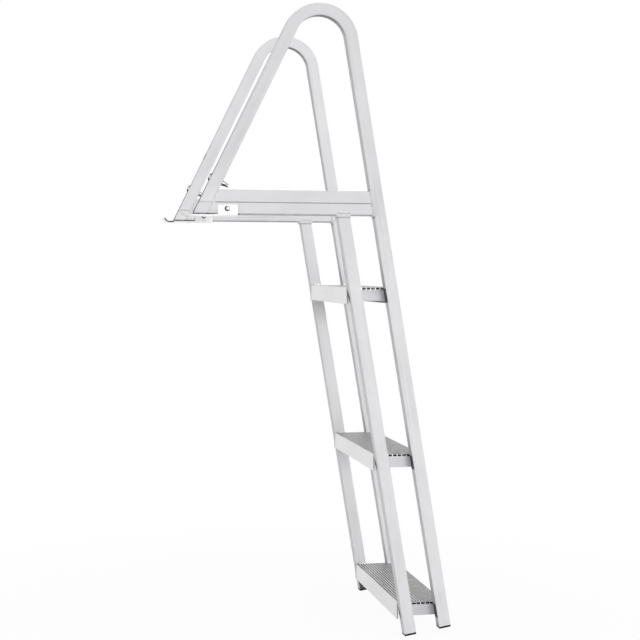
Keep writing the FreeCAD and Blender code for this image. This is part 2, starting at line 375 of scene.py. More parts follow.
satin_tube = metal("Satin tube", grey(0.84, 0.015), grey(0.73, 0.015), grey(0.78, 0.015), (0.58, 0.7), 0.25,
                   stretch=(2.5, 420.0, 1.0), clouds=9.0, relief=0.02, along_piece=True,
                   dirt_and_shade=grey(0.07, 0.002), darkened_regions=tube_darkening)
mill_tread = metal("Mill-finish tread", grey(0.78), grey(0.68, 0.005), grey(0.8), (0.26, 0.38), 0.85,
                   stretch=(3.0, 900.0, 1.0), clouds=14.0, relief=0.03, along_piece=True,
                   dirt_and_shade=grey(0.01), darkened_regions=tread_darkening)
cut_plate = metal("Cut plate", (0.65, 0.64, 0.67), (0.54, 0.53, 0.56), grey(0.75, 0.01), (0.45, 0.6), 0.3,
                  stretch=(5.0, 600.0, 600.0), clouds=14.0, relief=0.03)
polished_plate = metal("Polished plate", grey(0.95, 0.005), grey(0.9, 0.01), grey(0.66), (0.16, 0.3), 0.6,
                       stretch=(500.0, 12.0, 500.0), clouds=20.0, relief=0.006,
                       dirt_and_shade=grey(0.05), darkened_regions=bracket_darkening)
even = (300.0, 300.0, 300.0)
bright_bolt = metal("Bright bolt", grey(0.62), grey(0.5), grey(0.7), (0.16, 0.3), 1.0,
                    stretch=even, clouds=60.0, relief=0.01, dirt_and_shade=grey(0.03))
cast_wing = metal("Cast wing nut", grey(0.5), grey(0.4), grey(0.5), (0.25, 0.42), 1.0,
                  stretch=(400.0, 400.0, 400.0), clouds=80.0, relief=0.03, dirt_and_shade=grey(0.015))
dull_weld = metal("Dull weld", grey(0.64, 0.01), grey(0.46, 0.01), grey(0.68, 0.01), (0.35, 0.55), 0.4,
                  stretch=even, clouds=60.0, relief=0.03)
pale_weld = metal("Pale weld", grey(0.74, 0.01), grey(0.62, 0.01), grey(0.78, 0.01), (0.4, 0.6), 0.3,
                  stretch=even, clouds=60.0, relief=0.03)
# Whiter than the other welds: partly a fresh bead's own brightness, partly a painted highlight
fresh_weld_with_highlight = metal("Fresh weld with painted highlight", grey(0.93), grey(0.7), grey(0.93), (0.2, 0.4), 0.5,
                   stretch=even, clouds=60.0, relief=0.03)


def make_rubber():
    """Matt black with fine pores, dusty grey on its edges."""
    made, tree = new_material("Black rubber")
    shader = tree.nodes["Principled BSDF"]
    shader.inputs["Specular IOR Level"].default_value = 0.08
    place = add(tree, "ShaderNodeTexCoord").outputs["Object"]
    pores = noise(tree, place, 900.0, 3.0)
    dust = noise(tree, place, 45.0, 4.0)
    worn = add(tree, "ShaderNodeAttribute", attribute_name="edge").outputs["Fac"]
    greyer = combine(tree, "MULTIPLY", dust, worn)
    colour = mix_colours(tree, greyer, (0.008, 0.008, 0.009, 1), (0.02, 0.02, 0.021, 1))
    relief = add(tree, "ShaderNodeBump", {"Height": pores, "Strength": 0.4, "Distance": 0.05 * MM})
    rough = spread(tree, dust, 0.0, 1.0, 0.5, 0.75)
    connect(tree, shader, {"Base Color": colour, "Roughness": rough, "Normal": relief.outputs[0]})
    return made


black_rubber = make_rubber()


# Mesh work

def finished_mesh(bm, outward=True):
    """A mesh from what was built up, with its faces turned outward unless they already are."""
    if outward:
        bmesh.ops.recalc_face_normals(bm, faces=bm.faces)
    mesh = bpy.data.meshes.new("piece")
    bm.to_mesh(mesh)
    bm.free()
    return mesh


def put_in_scene(name, data):
    obj = bpy.data.objects.new(name, data)
    bpy.context.scene.collection.objects.link(obj)
    return obj


def real_mesh(obj, **options):
    """The object's mesh as its modifiers leave it."""
    graph = bpy.context.evaluated_depsgraph_get()
    return bpy.data.meshes.new_from_object(obj.evaluated_get(graph), depsgraph=graph, **options)


def mark_vertices(mesh, name, marks):
    """Gives each vertex its mark, under a name that the finishes read."""
    layer = mesh.attributes.new(name, "FLOAT", "POINT")
    for i, mark in enumerate(marks):
        layer.data[i].value = mark


def mark_edges(mesh):
    """Writes how strongly each vertex stands on an edge, for the rubbed edges of a finish."""
    sharpest = [0.0] * len(mesh.vertices)
    normals = {}
    for face in mesh.polygons:
        for key in face.edge_keys:
            if key in normals:
                bend = face.normal.angle(normals[key], 0.0)
                for v in key:
                    sharpest[v] = max(sharpest[v], bend)
            else:
                normals[key] = face.normal
    full_bend = math.radians(30)
    mark_vertices(mesh, "edge", [min(1.0, bend / full_bend) for bend in sharpest])


def settle(obj, rounding, sharp):
    """Rounds the edges, evens the shading of the flats, and leaves a plain mesh."""
    if rounding:
        bevel = obj.modifiers.new("Rounded edges", "BEVEL")
        bevel.width = rounding * MM
        bevel.segments = 2
        bevel.limit_method = "ANGLE"
        bevel.angle_limit = math.radians(30)
    for face in obj.data.polygons:
        face.use_smooth = True
    if not rounding:
        obj.data.set_sharp_from_angle(angle=math.radians(sharp))
    flats = obj.modifiers.new("Flat faces", "WEIGHTED_NORMAL")
    flats.keep_sharp = True
    flats.weight = 80
    plain = real_mesh(obj, preserve_all_data_layers=True)
    obj.modifiers.clear()
    obj.data = plain
    plain.name = obj.name
    mark_edges(plain)


finished = []


def piece(name, mesh, material, slot, *nodes, rounding=0.0, sharp=40):
    """A finished piece on the ladder's one body, standing for the named nodes."""
    obj = put_in_scene(name, mesh)
    mesh.materials.clear()
    mesh.materials.append(material)
    settle(obj, rounding, sharp)
    finished.append((obj, slot, nodes))


def hand_over(made):
    """Says what a piece rides on and what it stands for."""
    obj, slot, nodes = made
    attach(obj, "root")
    if nodes:
        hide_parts(*nodes)


def section_ring(half, radius, steps=5, flats=6):
    """Points round a square section with rounded corners, as (across, inward)."""
    points = []
    k = half - radius
    centres = [(k, k), (-k, k), (-k, -k), (k, -k)]
    for quarter in range(4):
        cx, cy = centres[quarter]
        for i in range(steps + 1):
            a = math.radians(90 * (quarter + i / steps))
            points.append((cx + radius * math.cos(a), cy + radius * math.sin(a)))
        nx, ny = centres[(quarter + 1) % 4]
        start = points[-1]
        end = (nx + radius * math.cos(a), ny + radius * math.sin(a))
        for j in range(1, flats):
            t = j / flats
            points.append((start[0] + (end[0] - start[0]) * t, start[1] + (end[1] - start[1]) * t))
    return points


def slid_to(point, direction, plane):
    """Where a point meets a cutting plane when it moves along the tube."""
    on, normal = plane
    return point + direction * ((on - point).dot(normal) / direction.dot(normal))


def bridge(bm, low, high):
    """Faces between two closed rings of as many vertices."""
    for i in range(len(low)):
        j = (i + 1) % len(low)
        bm.faces.new((low[i], low[j], high[j], high[i]))


def side_faces(bm, length_and_girth, rows, lengths, ring):
    """Faces from ring to ring, laid out by how far along and round the piece they lie."""
    girths = [0.0]
    for a, b in zip(ring, ring[1:] + ring[:1]):
        girths.append(girths[-1] + math.dist(a, b))
    for n in range(len(rows) - 1):
        for i in range(len(ring)):
            j = (i + 1) % len(ring)
            face = bm.faces.new((rows[n][i], rows[n][j], rows[n + 1][j], rows[n + 1][i]))
            for loop, at in zip(face.loops, ((n, i), (n, i + 1), (n + 1, i + 1), (n + 1, i))):
                loop[length_and_girth].uv = (lengths[at[0]] * MM, girths[at[1]] * MM)


def tube_mesh(stations, first_cut=None, last_cut=None):
    """A hollow square tube along stations of (centre, direction, inward, dish, darkening).

    Darkening says how dark the outward face and the inward face are made there, mostly as painted shade.
    """
    bm = bmesh.new()
    length_and_girth = bm.loops.layers.uv.new("Length and girth")
    dirt_and_shade = bm.verts.layers.float.new("dirt_and_shade")
    half = tube / 2
    on_a_flat = half - wall - 0.01
    on_outward_or_inward_face = half - 0.3
    rings = {}
    for key, ring in (("outer", section_ring(half, corner_r)),
                      ("inner", section_ring(half - wall, bore_corner_r))):
        rows, lengths = [], [0.0]
        for n, (centre, direction, inward, dish, darkening) in enumerate(stations):
            if n:
                lengths.append(lengths[-1] + (centre - stations[n - 1][0]).length)
            row = []
            for y, v in ring:
                hollow = dish * max(0.0, 1 - (2 * y / tube) ** 2) if abs(v) > on_a_flat else 0.0
                p = centre + across * y + inward * (v - math.copysign(hollow, v))
                if n == 0 and first_cut:
                    p = slid_to(p, direction, first_cut)
                if n == len(stations) - 1 and last_cut:
                    p = slid_to(p, direction, last_cut)
                corner = bm.verts.new(p * MM)
                corner[dirt_and_shade] = darkening[v > 0] if abs(v) > on_outward_or_inward_face else 0.0
                row.append(corner)
            rows.append(row)
        rings[key] = rows
        side_faces(bm, length_and_girth, rows, lengths, ring)
    for n in (0, -1):
        bridge(bm, rings["outer"][n], rings["inner"][n])
    return finished_mesh(bm)


def paint_shade_on_inner_stile(mesh):
    """Paints a dark wedge of shade on the stile's front face, beside the end of each tread's flange, where
    the gap lies in shadow.
    """
    layer = mesh.attributes["dirt_and_shade"]
    black, close = 1.3, 0.3
    shade_half = 9.5
    shade_top, shade_bottom = 3.0, tread_flange - 2
    for v in mesh.vertices:
        at = v.co / MM
        for top in tread_tops.values():
            below = top - at.z
            if shade_top - 1 < below < shade_bottom + 1 and at.x - inner_front_x(at.z) < close:
                down = (below - shade_top) / (shade_bottom - shade_top)
                reach = shade_half - 2 * shade_half * down
                layer.data[v.index].value = black if at.y > reach else 0.0


def straight(points, direction, inward):
    """Stations of a clean straight tube through the given points."""
    return [(p, direction, inward, 0.0, (0.0, 0.0)) for p in points]


def handrail_stations(y, arch_steps=48):
    """Up the front leg, round the arch and down the outer stile.

    The outward face carries painted shade along the leg, strongest at its foot, with one black mark on the
    right leg.
    The inward face carries painted shade under the arch, down the stile, at the foot of the bars and beside
    each tread.
    """
    side = across * y
    leg_start = toe + leg_in * (tube / 2)
    to_foot = outer_foot - leg_start
    apex = leg_start + leg_dir * (to_foot.cross(stile_dir).y / leg_dir.cross(stile_dir).y)
    turn = math.pi - math.acos(leg_dir.dot(stile_dir))
    back = arch_r * math.tan(turn / 2)
    start = apex - leg_dir * back
    centre = start + leg_in * arch_r
    # Painted shade: faint down the stile's inward face, black at the foot of the bars and beside each tread
    faint, black = 0.15, 1.2
    # Painted shade on the leg's outward face, strongest at its foot
    up_leg = [(0, 0.85), (60, 0.6), (120, 0.3)]
    if y:
        mark_foot, mark_top, fading = 160, 171, 2
        up_leg += [(mark_foot - fading, 0.25), (mark_foot, 2.0), (mark_top, 2.0), (mark_top + fading, 0.25)]
    stations = [(leg_start + leg_dir * rise + side, leg_dir, leg_in, 0.0, (darkening, 0.0))
                for rise, darkening in up_leg]
    # Painted shade under the arch, on its inward face, deepest halfway round the bend
    for i in range(arch_steps + 1):
        turned = Matrix.Rotation(turn * i / arch_steps, 3, across)
        inward = turned @ leg_in
        rise = math.sin(math.pi * i / arch_steps)
        stations.append((centre - inward * arch_r + side, turned @ leg_dir, inward,
                         arch_dish * rise ** 0.5, (0.05, faint + 0.6 * rise)))
    down_stile = [(bars_top_z, faint), (bar_z + 3, faint), (bar_z + 2, black), (bar_z + 1, black),
                  (bar_z - 4, faint)]
    for top in tread_tops.values():
        down_stile += [(top + 70, faint), (top + 0.5, 0.5), (top - 0.5, black), (top - 28, black),
                       (top - 30, 0.2)]
    for z, darkening in down_stile + [(outer_foot.z, 0.6)]:
        at = outer_foot + stile_dir * ((z - outer_foot.z) / stile_dir.z)
        stations.append((at + side, -stile_dir, -stile_out, 0.0, (0.0, darkening)))
    return stations


def extrusion_mesh(outline, darkening_marks, holes, y0, y1):
    """A solid along Y from a closed outline of (x, z) points, with closed holes through it.

    The marks say how dark each point of the outline is made. The holes are painted black inside, as the shade
    in them.
    """
    bm = bmesh.new()
    length_and_girth = bm.loops.layers.uv.new("Length and girth")
    dirt_and_shade = bm.verts.layers.float.new("dirt_and_shade")
    # Inside the holes, painted shade: black but for a short mouth at each end
    unshaded_mouth, black = 0.2, 1.4
    ends = {y0: [], y1: []}
    for loop_points in [outline] + holes:
        at_hole = loop_points is not outline
        places = (y0, y0 + unshaded_mouth, y1 - unshaded_mouth, y1) if at_hole else (y0, y1)
        rows = []
        for n, y in enumerate(places):
            row = []
            for k, (x, z) in enumerate(loop_points):
                v = bm.verts.new(Vector((x, y, z)) * MM)
                v[dirt_and_shade] = (black if n in (1, 2) else 0.0) if at_hole else darkening_marks[k]
                row.append(v)
            rows.append(row)
            if y in ends:
                ends[y] += row
        side_faces(bm, length_and_girth, rows, places, loop_points)
    polygons = [[Vector((x, z, 0)) for x, z in points] for points in [outline] + holes]
    for triangle in tessellate_polygon(polygons):
        for y in (y0, y1):
            face = bm.faces.new([ends[y][i] for i in triangle])
            for loop in face.loops:
                loop[length_and_girth].uv = (loop.vert.co.x, loop.vert.co.z)
    return finished_mesh(bm)


def rounded_corner(corner, before, after, radius, steps=3):
    """Points of a small arc in place of a corner of an outline."""
    corner, before, after = Vector(corner), Vector(before), Vector(after)
    a = (before - corner).normalized()
    b = (after - corner).normalized()
    start, end = corner + a * radius, corner + b * radius
    centre = corner + (a + b) * radius
    return [tuple(centre + (start - centre).slerp(end - centre, i / steps)) for i in range(steps + 1)]


def rounded_outline(points, radii):
    """A closed outline with each corner rounded by its own radius, as one list for each corner."""
    return [rounded_corner(p, points[i - 1], points[(i + 1) % len(points)], radii[i])
            for i, p in enumerate(points)]


def tread_mesh(top):
    """The extruded step: hollow cells, a grooved top and a flange down each long edge."""
    x0 = inner_front_x(top)
    x1 = x0 + tread_depth
    between_flanges = tread_depth - 2 * flange_t
    under, foot = top - deck_t, top - tread_flange
    edge_r, foot_r, fillet_r = 0.8, 0.5, 1.0
    corners = rounded_outline(
        [(x0, top), (x1, top), (x1, foot), (x1 - flange_t, foot), (x1 - flange_t, under),
         (x0 + flange_t, under), (x0 + flange_t, foot), (x0, foot)],
        [edge_r, edge_r, foot_r, foot_r, fillet_r, fillet_r, foot_r, foot_r])
    grooves = []
    half = groove_w / 2
    for n in range(groove_count):
        mid = x0 + flange_t + between_flanges * (n + 0.5) / groove_count
        # The dirt is more even toward the rear, so that the grooves stand out less there
        rearward = min(1.0, max(0.0, (n - 5) / 4))
        ridge, groove = 0.18 + 0.22 * rearward, 0.88 - 0.24 * rearward
        front, rear = mid - half, mid + half
        grooves += [((front - groove_lean, top), ridge),
                    ((front, top - groove_edge_d), groove),
                    ((front + groove_lean, top - groove_d), groove),
                    ((rear - groove_lean, top - groove_d), groove),
                    ((rear, top - groove_edge_d), groove),
                    ((rear + groove_lean, top), ridge)]

    def with_darkening(points):
        """Points paired with their darkening: none on the outer faces, and painted shade on the inner ones
        under the deck.
        """
        return [(p, 0.0 if min(p[0] - x0, x1 - p[0]) < flange_t / 2 else 0.62) for p in points]

    around = with_darkening(corners[0]) + grooves
    for corner in corners[1:]:
        around += with_darkening(corner)
    outline = [point for point, dirt_and_shade in around]
    marks = [dirt_and_shade for point, dirt_and_shade in around]
    cells = []
    pitch = between_flanges / cell_count
    for i in range(cell_count):
        mid = x0 + flange_t + pitch * (i + 0.5)
        front, rear = mid - cell_w / 2, mid + cell_w / 2
        low, high = top - skin - cell_h, top - skin
        square = [(front, high), (rear, high), (rear, low), (front, low)]
        cells.append([point for corner in rounded_outline(square, [cell_corner_r] * 4)
                      for point in corner])
    return extrusion_mesh(outline, marks, cells, tube / 2, tube / 2 + tread_len)


def plate_mesh(xs, ys, zs):
    """A flat plate between two places along each axis."""
    bm = bmesh.new()
    bmesh.ops.create_cube(bm, size=1.0)
    for v in bm.verts:
        v.co = Vector((xs[v.co.x > 0], ys[v.co.y > 0], zs[v.co.z > 0])) * MM
    return finished_mesh(bm, outward=False)


def cad_copy(node):
    """A merged copy of a node's mesh, with its flat faces made whole again."""
    bm = bmesh.new()
    bm.from_mesh(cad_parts[node].data)
    bmesh.ops.remove_doubles(bm, verts=bm.verts, dist=2e-6)
    bmesh.ops.dissolve_limit(bm, angle_limit=math.radians(1.0), verts=bm.verts, edges=bm.edges)
    return finished_mesh(bm, outward=False)


def stand(base, axis):
    """Places something made on its own Z axis."""
    return Matrix.Translation(base) @ axis.to_track_quat("Z", "Y").to_matrix().to_4x4()


def ring_of(bm, place, radii, z):
    """Vertices round a place's own Z axis, evenly spaced, each at its own radius."""
    ring = []
    for i, r in enumerate(radii):
        a = 2 * math.pi * i / len(radii)
        ring.append(bm.verts.new(place @ Vector((r * math.cos(a), r * math.sin(a), z)) * MM))
    return ring


def turned_mesh(profile, place, steps=40):
    """A closed turned shape from a profile of (radius, height) that begins and ends on the axis."""
    bm = bmesh.new()
    rows = [ring_of(bm, place, [r] * (steps if r > 1e-6 else 1), z) for r, z in profile]
    for low, high in zip(rows, rows[1:]):
        if len(low) == len(high):
            bridge(bm, low, high)
            continue
        for i in range(steps):
            j = (i + 1) % steps
            bm.faces.new((low[0], high[j], high[i]) if len(low) == 1 else (low[i], low[j], high[0]))
    return finished_mesh(bm)


def add_thread(mesh, place, z0, z1, steps=28):
    """A screw thread with a chamfered end, from height z0 up to z1."""
    bm = bmesh.new()
    bm.from_mesh(mesh)
    radius = bolt_d / 2
    count = int((z1 - z0) / thread_pitch * 8)
    rows = []
    for n in range(count + 1):
        z = z0 + (z1 - z0) * n / count
        radii = []
        for i in range(steps):
            phase = (z / thread_pitch - i / steps) % 1.0
            r = radius - thread_depth * abs(2 * phase - 1)
            radii.append(min(r, radius - thread_chamfer + (z1 - z)))
        rows.append(ring_of(bm, place, radii, z))
    for low, high in zip(rows, rows[1:]):
        bridge(bm, low, high)
    bm.faces.new(rows[0][::-1])
    bm.faces.new(rows[-1])
    bm.to_mesh(mesh)
    bm.free()


def paint_dark_rim(mesh, place, radius, width, thickest, both_ends=False):
    """Paints a dark reflection round the rim of a bolt's head, where it meets what it holds.

    The painted reflection lies within a width of the rim, thickest towards one side, or only at the two ends
    along that direction.
    """
    to_head = place.inverted()
    towards = to_head.to_3x3() @ thickest
    black = 2.2
    marks = []
    for v in mesh.vertices:
        at = to_head @ (v.co / MM)
        out = math.hypot(at.x, at.y)
        lean = (at.x * towards.x + at.y * towards.y) / max(out, 0.01)
        lean = max(0.0, 1.6 * abs(lean) - 0.6) if both_ends else 0.5 + 0.5 * lean
        mark = max(0.0, black - black * ((radius - out) / width) ** 2) * lean
        marks.append(mark if at.z > -0.1 else 0.0)
    mark_vertices(mesh, "dirt_and_shade", marks)


def dome(radius, height, steps=12):
    """Profile of a bolt's domed head, from its underside to its crown."""
    profile = [(0, 0.0), (radius * 0.6, 0.0), (radius - head_rim, 0.0), (radius, head_rim)]
    for i in range(1, steps):
        t = math.radians(90 * i / steps)
        profile.append((radius * math.cos(t), head_rim + (height - head_rim) * math.sin(t)))
    return profile + [(0, height)]


def nut_mesh(place, steps=72):
    """A hexagon nut with chamfered corners and a bore."""
    flat_r = nut_across_flats / 2
    corner = flat_r / math.cos(math.radians(30))
    bore = [bolt_d / 2 + nut_bore_gap] * steps
    chamfer_start, chamfer_slope = 0.96, 1.9
    bm = bmesh.new()
    rows = [ring_of(bm, place, bore, nut_h / 2), ring_of(bm, place, bore, 0.0)]
    for z in (0.0, 0.15, 0.35, 0.6, nut_h - 0.6, nut_h - 0.35, nut_h - 0.15, nut_h):
        cone = flat_r * chamfer_start + chamfer_slope * min(z, nut_h - z)
        radii = []
        for i in range(steps):
            off = (2 * math.pi * i / steps % math.radians(60)) - math.radians(30)
            radii.append(min(flat_r / math.cos(off), cone, corner))
        rows.append(ring_of(bm, place, radii, z))
    rows.append(ring_of(bm, place, bore, nut_h))
    for low, high in zip(rows, rows[1:] + rows[:1]):
        bridge(bm, low, high)
    return finished_mesh(bm)


def wing_nut_mesh(place):
    """Hub and two wings, blended into one casting."""
    hub = [(0, 0.0), (hub_r, 0.0), (hub_r, hub_rim), (hub_top_r, hub_h), (0, hub_h)]
    mesh = turned_mesh(hub, Matrix.Identity(4), 48)
    bm = bmesh.new()
    bm.from_mesh(mesh)

    def add_blob(at, r):
        """A flat round lump of the wing's thickness."""
        lump = Matrix.Translation(at) @ Matrix.Diagonal((r, wing_t / 2, r, 1))
        bmesh.ops.create_uvsphere(bm, u_segments=20, v_segments=12, radius=1.0,
                                  matrix=Matrix.Diagonal((MM, MM, MM, 1)) @ lump)

    for side in (1, -1):
        tip = Vector((wing_reach * side, 0, wing_height))
        # Places along the wing, each with the wing's radius there
        path = [(Vector((side * 1.0, 0, hub_h * 0.45)), 4.2), (Vector((side * 4.5, 0, hub_h * 0.62)), 4.0),
                (Vector((side * 7.4, 0, 9.0)), 3.5), (tip, wing_tip_r)]
        for (here, r), (there, next_r) in zip(path, path[1:]):
            for k in range(6):
                t = k / 6
                add_blob(here.lerp(there, t), r * (1 - t) + next_r * t)
        add_blob(tip, wing_tip_r)
    bm.to_mesh(mesh)
    bm.free()
    rough = put_in_scene("rough casting", mesh)
    skin_over = rough.modifiers.new("One casting", "REMESH")
    skin_over.mode = "VOXEL"
    skin_over.voxel_size = 0.38 * MM
    soften = rough.modifiers.new("Soft fillets", "SMOOTH")
    soften.iterations = 6
    soften.factor = 0.5
    plain = real_mesh(rough)
    bpy.data.objects.remove(rough)
    # Painted dark reflection on the outer parts of the wings, and painted shade round the hub's base
    unpainted_reach, fade, dark_base = 6.0, 1.2, 0.9
    marks = []
    for v in plain.vertices:
        at = v.co / MM
        marks.append(max(0.0, min(1.0, (abs(at.x) - unpainted_reach) / fade), dark_base - at.z))
    mark_vertices(plain, "dirt_and_shade", marks)
    where = place.copy()
    where.translation = where.translation * MM
    plain.transform(where)
    return plain


# Weld beads, as how wide they are and how far they stand out
bar_end_bead = (5.6, 1.2)
bar_to_leg_bead = (4.4, 0.8)
corner_bead = (2.6, 1.6)
stile_top_bead = (4.0, 1.3)
tread_bead = (3.8, 2.8)


def make_weld_tree():
    """Overlapping ripples along a line of points, each a flattened ball of its own size."""
    tree = bpy.data.node_groups.new("Weld bead", "GeometryNodeTree")
    face = tree.interface
    face.new_socket("Line", in_out="INPUT", socket_type="NodeSocketGeometry")
    for label, value in (("Ripple spacing", 0.0016), ("Ripple length", 0.0022), ("Unevenness", 0.22)):
        face.new_socket(label, in_out="INPUT", socket_type="NodeSocketFloat").default_value = value
    face.new_socket("Seed", in_out="INPUT", socket_type="NodeSocketInt").default_value = 1
    face.new_socket("Metal", in_out="INPUT", socket_type="NodeSocketMaterial")
    face.new_socket("Bead", in_out="OUTPUT", socket_type="NodeSocketGeometry")
    given = tree.nodes.new("NodeGroupInput").outputs
    result = tree.nodes.new("NodeGroupOutput")

    def step(kind, wires=None, **settings):
        return add(tree, kind, wires, **settings).outputs

    def stored(name, data_type):
        return step("GeometryNodeInputNamedAttribute", {"Name": name}, data_type=data_type)[0]

    curve = step("GeometryNodeMeshToCurve", {"Mesh": given["Line"]})[0]
    evened = step("GeometryNodeResampleCurve", {"Curve": curve, "Length": given["Ripple spacing"]},
                  mode="LENGTH")[0]
    tangent = step("GeometryNodeInputTangent")[0]
    along = step("FunctionNodeAlignRotationToVector", {"Vector": tangent}, axis="X")[0]
    away = stored("away", "FLOAT_VECTOR")
    turned = step("FunctionNodeAlignRotationToVector", {"Rotation": along, "Vector": away},
                  axis="Z", pivot_axis="X")[0]
    ball = step("GeometryNodeMeshUVSphere", {"Segments": 12, "Rings": 7, "Radius": 1.0})[0]
    uneven = add(tree, "FunctionNodeRandomValue", {"Seed": given["Seed"]}, data_type="FLOAT")
    for i, operation in ((2, "SUBTRACT"), (3, "ADD")):
        tree.links.new(combine(tree, operation, 1.0, given["Unevenness"]), uneven.inputs[i])
    sizes = {0: given["Ripple length"], 1: stored("bead_width", "FLOAT"), 2: stored("bead_height", "FLOAT")}
    size = step("ShaderNodeCombineXYZ", sizes)[0]
    scaled = step("ShaderNodeVectorMath", {0: size, "Scale": uneven.outputs[1]}, operation="SCALE")[0]
    ripples = step("GeometryNodeInstanceOnPoints",
                   {"Points": evened, "Instance": ball, "Rotation": turned, "Scale": scaled})[0]
    real = step("GeometryNodeRealizeInstances", {"Geometry": ripples})[0]
    smooth = step("GeometryNodeSetShadeSmooth", {"Geometry": real})[0]
    coated = step("GeometryNodeSetMaterial", {"Geometry": smooth, "Material": given["Metal"]})[0]
    tree.links.new(coated, result.inputs["Bead"])
    return tree


weld_tree = make_weld_tree()


def welds(name, runs, metal_used, seed, spacing=1.6, length=2.2):
    """Beads along runs of (points, away, width, height), as one plain mesh."""
    points, lines = [], []
    stored = {"away": [], "bead_width": [], "bead_height": []}
    for run, away, width, height in runs:
        for i, p in enumerate(run):
            if i:
                lines.append((len(points) - 1, len(points)))
            points.append(p * MM)
            stored["away"].append(away.normalized())
            stored["bead_width"].append(width * MM)
            stored["bead_height"].append(height * MM)
    mesh = bpy.data.meshes.new(name)
    mesh.from_pydata(points, lines, [])
    for label, values in stored.items():
        is_vector = label == "away"
        layer = mesh.attributes.new(label, "FLOAT_VECTOR" if is_vector else "FLOAT", "POINT")
        for i, value in enumerate(values):
            setattr(layer.data[i], "vector" if is_vector else "value", value)
    obj = put_in_scene(name, mesh)
    beads = obj.modifiers.new("Weld bead", "NODES")
    beads.node_group = weld_tree
    sockets = {s.name: s.identifier for s in weld_tree.interface.items_tree if s.in_out == "INPUT"}
    beads[sockets["Seed"]] = seed
    beads[sockets["Metal"]] = metal_used
    beads[sockets["Ripple spacing"]] = spacing * MM
    beads[sockets["Ripple length"]] = length * MM
    plain = real_mesh(obj)
    obj.modifiers.clear()
    obj.data = plain
    finished.append((obj, "frame_aluminium", ()))


def both_sides(y, ends, bead, sunk=0.5):
    """A bead down each side of a frame, its middle a little inside the tubes' surface."""
    runs = []
    for s in (-1, 1):
        out = across * s
        face = across * y + out * (tube / 2 - sunk)
        runs.append(([end + face for end in ends], out, *bead))
    return runs


def bar_end_weld_runs(y):
    """The bars to the outer stile of one frame."""
    past_the_bar = 2.0
    ends = [Vector((outer_front_x(z) + past_the_bar, 0, z)) for z in (bar_z + 1.5, bars_top_z - 0.5)]
    return both_sides(y, ends, bar_end_bead)


def frame_weld_runs(y):
    """The upper bar to the leg, and a bead across the tube at each corner of one frame."""
    ends = [Vector((leg_rear_x(z) + 0.5, 0, z)) for z in (upper_bar_z + 0.5, bars_top_z - 0.5)]
    runs = both_sides(y, ends, bar_to_leg_bead)
    corners = [
        (bars_top_z, outer_front_x(bars_top_z), (-1, 0, 1)),
        (bar_z, outer_front_x(bar_z), (-1, 0, -1)),
        (bars_top_z, leg_rear_x(bars_top_z), (1, 0, 1)),
        (bar_z, inner_front_x(bar_z), (-1, 0, -1)),
        (bar_z, inner_front_x(bar_z) + tube / stile_dir.z, (1, 0, -1)),
    ]
    reach = tube / 2 - 1.5
    for z, x, away in corners:
        ends = [Vector((x, y - reach, z)), Vector((x, y + reach, z))]
        runs.append((ends, Vector(away), *corner_bead))
    return runs


def stile_top_weld_runs(y):
    """The broad rippled bead each side of the inner stile's top, under the lower bar."""
    first, last = inner_stile_x - 0.5, inner_stile_x + tube + 0.5
    return both_sides(y, [Vector((x, 0, bar_z + 0.9)) for x in (first, last)], stile_top_bead, sunk=0.6)


def tread_weld_runs():
    """On the treads, at the foot of each stile's inner side."""
    off_the_stile = 1.8
    runs = []
    for top in tread_tops.values():
        for y, inward in ((tube / 2, 1), (tube / 2 + tread_len, -1)):
            for first, last in ((inner_front_x(top) + 10, inner_front_x(top) + 21),
                                (outer_front_x(top) + 2, outer_front_x(top) + 18)):
                line = [Vector((x, y + off_the_stile * inward, top)) for x in (first, last)]
                runs.append((line, Vector((0, inward, 1)), *tread_bead))
    return runs


# The pieces

def make_tubes(name, y):
    """The handrail tube, the two bars and the inner stile of one frame."""
    piece(name + "_rail", tube_mesh(handrail_stations(y), first_cut=(toe, up)),
          satin_tube, "frame_aluminium", name + "_handrail_tube")
    leg_plane = (bars_meet_leg, leg_in)
    stile_plane = (Vector((outer_front_x(0), 0, 0)), stile_out)
    for label, z in (("lower_bar", bar_z), ("upper_bar", upper_bar_z)):
        node = name + "_" + label
        centre = z + tube / 2
        ends = [Vector((leg_rear_x(centre), y, centre)), Vector((outer_front_x(centre), y, centre))]
        mesh = tube_mesh(straight(ends, Vector((1, 0, 0)), up), leg_plane, stile_plane)
        piece(node + "_tube", mesh, satin_tube, "frame_aluminium", node)

    node = name + "_inner_stile"
    heights = [top - drop for top in sorted(tread_tops.values())
               for drop in (tread_flange, tread_flange - 1.5, 18.0, 3.0, 1.0)]
    middles = [inner_foot + stile_dir * ((z - inner_foot.z) / stile_dir.z)
               for z in [inner_foot.z] + heights + [bar_z]]
    mesh = tube_mesh(straight([p + across * y for p in middles], stile_dir, stile_out),
                     last_cut=(Vector((0, 0, bar_z)), up))
    # Painted shade beside the ends of the treads' flanges, on the left frame only
    if name == "left":
        paint_shade_on_inner_stile(mesh)
    piece(node + "_tube", mesh, satin_tube, "frame_aluminium", node)


def make_caps_and_bracket(name):
    for node in (name + "_inner_foot_cap", name + "_outer_foot_cap"):
        piece(node + "_rubber", cad_copy(node), black_rubber, "rubber", node, rounding=0.5)
    node = name + "_deck_bracket"
    piece(name + "_bracket", cad_copy(node), polished_plate, "bracket_steel", node, rounding=0.3)


def make_bolt(name, node, base, axis, head, reach, dark_rim_width, thickest, both_ends=False):
    """A domed bolt whose thread starts under its head and reaches along an axis."""
    place = stand(base, -axis)
    mesh = turned_mesh(dome(*head), place)
    # Painted dark reflection round the rim of the head
    paint_dark_rim(mesh, place, head[0], dark_rim_width, thickest, both_ends)
    add_thread(mesh, stand(base, axis), 0.0, reach)
    piece(name, mesh, bright_bolt, "bolt_steel", node, sharp=50)


